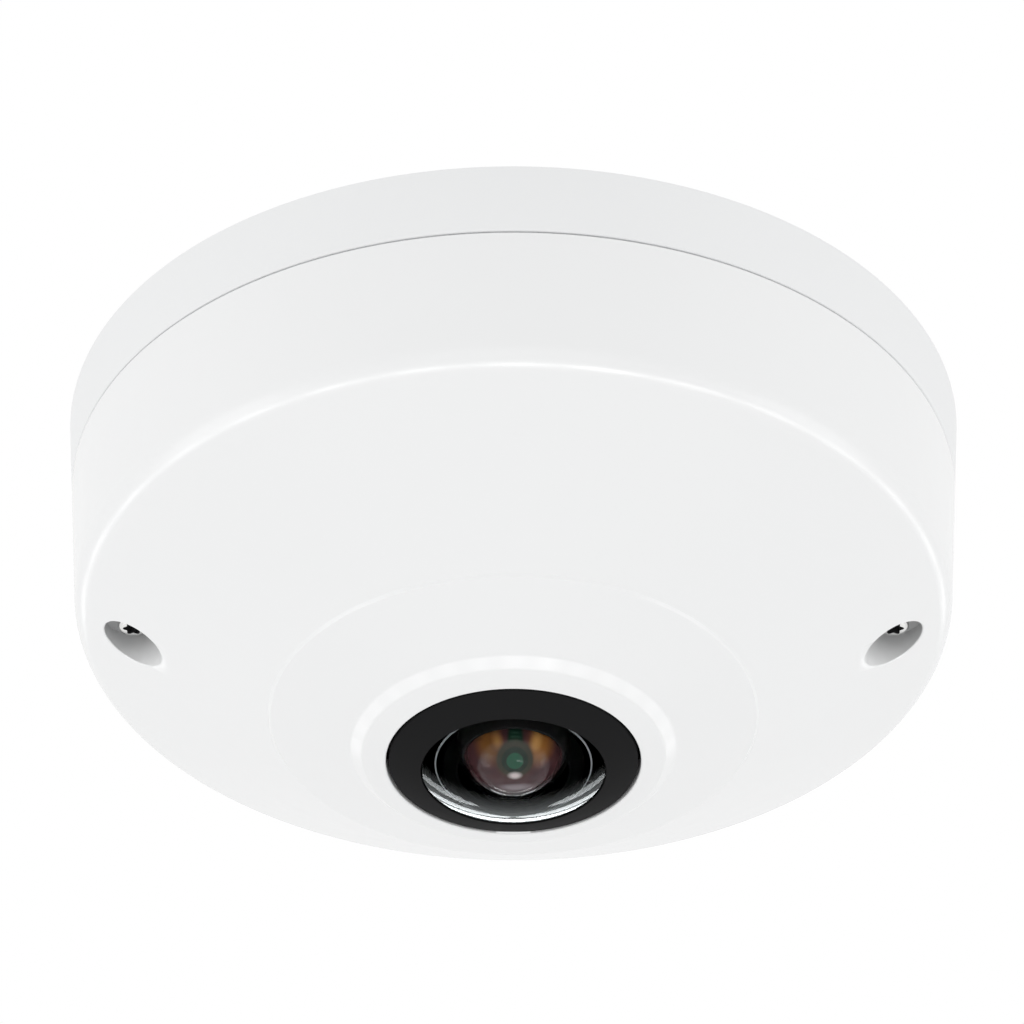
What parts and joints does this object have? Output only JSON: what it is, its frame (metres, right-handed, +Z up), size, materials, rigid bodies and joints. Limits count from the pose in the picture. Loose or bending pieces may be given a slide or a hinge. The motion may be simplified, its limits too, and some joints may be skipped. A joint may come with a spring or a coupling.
{
  "type": "fisheye network camera",
  "caption": "Round ceiling-mounted fisheye security camera with a sloping white cover, a domed lens in a black ring and captive cover screws.",
  "frame": {"origin": "centre of the flat back of the base, in the plane of the ceiling", "axes": "+Z up into the ceiling, so the lens looks along -Z; +X through the right-hand cover screw as seen in the picture; +Y away from the viewer in the picture, towards the key in the cover's collar"},
  "size_m": [0.15, 0.15, 0.0745],
  "materials": {
    "white_casting": "satin white paint on a die-cast base",
    "white_plastic": "satin white moulded plastic",
    "satin_black": "satin black",
    "black_plastic": "fine matt grain",
    "black_anodised": "black anodised, finely turned",
    "coated_glass": "polished, anti-reflection coated",
    "clear_glass": "polished",
    "filter_glass": "polished, cyan infrared-cut coating",
    "grey_foam": "closed-cell foam",
    "black_rubber": "matt",
    "brass": "turned",
    "zinc_steel": "zinc plated",
    "stainless": "turned stainless",
    "bare_aluminium": "extruded, bead blasted",
    "circuit_board": "green solder mask over copper",
    "chip_black": "moulded epoxy",
    "thermal_pad": "soft silicone",
    "natural_plastic": "natural nylon",
    "capacitor_sleeve": "shrunk sleeve",
    "red_plastic": "moulded",
    "flex_film": "amber polyimide film over copper lines"
  },
  "bodies": {
    "base": {"mounting_base": "white_casting", "ceiling_gasket": "grey_foam", "cable_grommet": "black_rubber", "cover_seal": "grey_foam", "screw_inserts": "brass", "main_board": "circuit_board", "main_board_screws": "zinc_steel", "board_standoffs": "brass", "processor": "chip_black", "thermal_pad": "thermal_pad", "heat_sink": "bare_aluminium", "heat_sink_screws": "zinc_steel", "memory_chips": "chip_black", "network_transformer": "chip_black", "network_jack": "black_plastic", "jack_shield": "zinc_steel", "jack_contacts": "brass", "power_header": "natural_plastic", "power_pins": "zinc_steel", "poe_transformer": "black_plastic", "capacitors": "capacitor_sleeve", "inductors": "black_plastic", "card_slot": "zinc_steel", "reset_switch": "black_plastic", "flex_connectors": "natural_plastic", "camera_flex_cable": "flex_film", "camera_plate": "zinc_steel", "camera_plate_screws": "zinc_steel", "sensor_spacers": "brass", "sensor_board": "circuit_board", "sensor_board_screws": "zinc_steel", "image_sensor": "chip_black", "sensor_glass": "clear_glass", "lens_holder": "black_plastic", "filter_coil": "brass", "lens_lock_ring": "black_anodised", "lens_barrel": "black_anodised", "front_lens": "coated_glass", "front_lens_seal": "black_rubber", "front_lens_ring": "black_anodised", "second_lens": "coated_glass", "lens_spacers": "black_anodised", "third_lens": "coated_glass", "aperture_stop": "black_anodised", "rear_lens": "coated_glass", "lens_shroud": "black_plastic", "shroud_screws": "zinc_steel", "lens_bezel": "satin_black"},
    "front_cover": {"cover": "white_plastic"},
    "left_clip": {"screw_clip_left": "stainless"},
    "left_screw": {"cover_screw_left": "stainless"},
    "right_clip": {"screw_clip_right": "stainless"},
    "right_screw": {"cover_screw_right": "stainless"},
    "filter": {"filter_carriage": "black_plastic", "ir_cut_glass": "filter_glass", "clear_glass": "clear_glass"},
    "card": {"memory_card": "black_plastic"},
    "button": {"reset_button": "red_plastic"}
  },
  "joints": [
    {"name": "cover_lift", "type": "slide", "parent": "base", "child": "front_cover", "axis": [0, 0, -1], "range_m": [0, 0.08]},
    {"name": "left_screw_lift", "type": "slide", "parent": "front_cover", "child": "left_clip", "axis": [0, 0, -1], "range_m": [0, 0.0045]},
    {"name": "left_screw_turn", "type": "hinge", "parent": "left_clip", "child": "left_screw", "pos_m": [-0.0637, 0, -0.0385], "axis": [0, 0, -1], "range_deg": [0, 3240]},
    {"name": "right_screw_lift", "type": "slide", "parent": "front_cover", "child": "right_clip", "axis": [0, 0, -1], "range_m": [0, 0.0045]},
    {"name": "right_screw_turn", "type": "hinge", "parent": "right_clip", "child": "right_screw", "pos_m": [0.0637, 0, -0.0385], "axis": [0, 0, -1], "range_deg": [0, 3240]},
    {"name": "filter_slide", "type": "slide", "parent": "base", "child": "filter", "axis": [-1, 0, 0], "range_m": [0, 0.0084]},
    {"name": "card_slide", "type": "slide", "parent": "base", "child": "card", "axis": [0, -1, 0], "range_m": [0, 0.012]},
    {"name": "reset_press", "type": "slide", "parent": "base", "child": "button", "axis": [0, 0, 1], "range_m": [0, 0.00035], "stiffness_N_per_m": 4500}
  ],
  "couplings": [
    {"joint": "left_screw_turn", "follows": "left_screw_lift", "rad_per_m": 12566},
    {"joint": "right_screw_turn", "follows": "right_screw_lift", "rad_per_m": 12566}
  ]
}
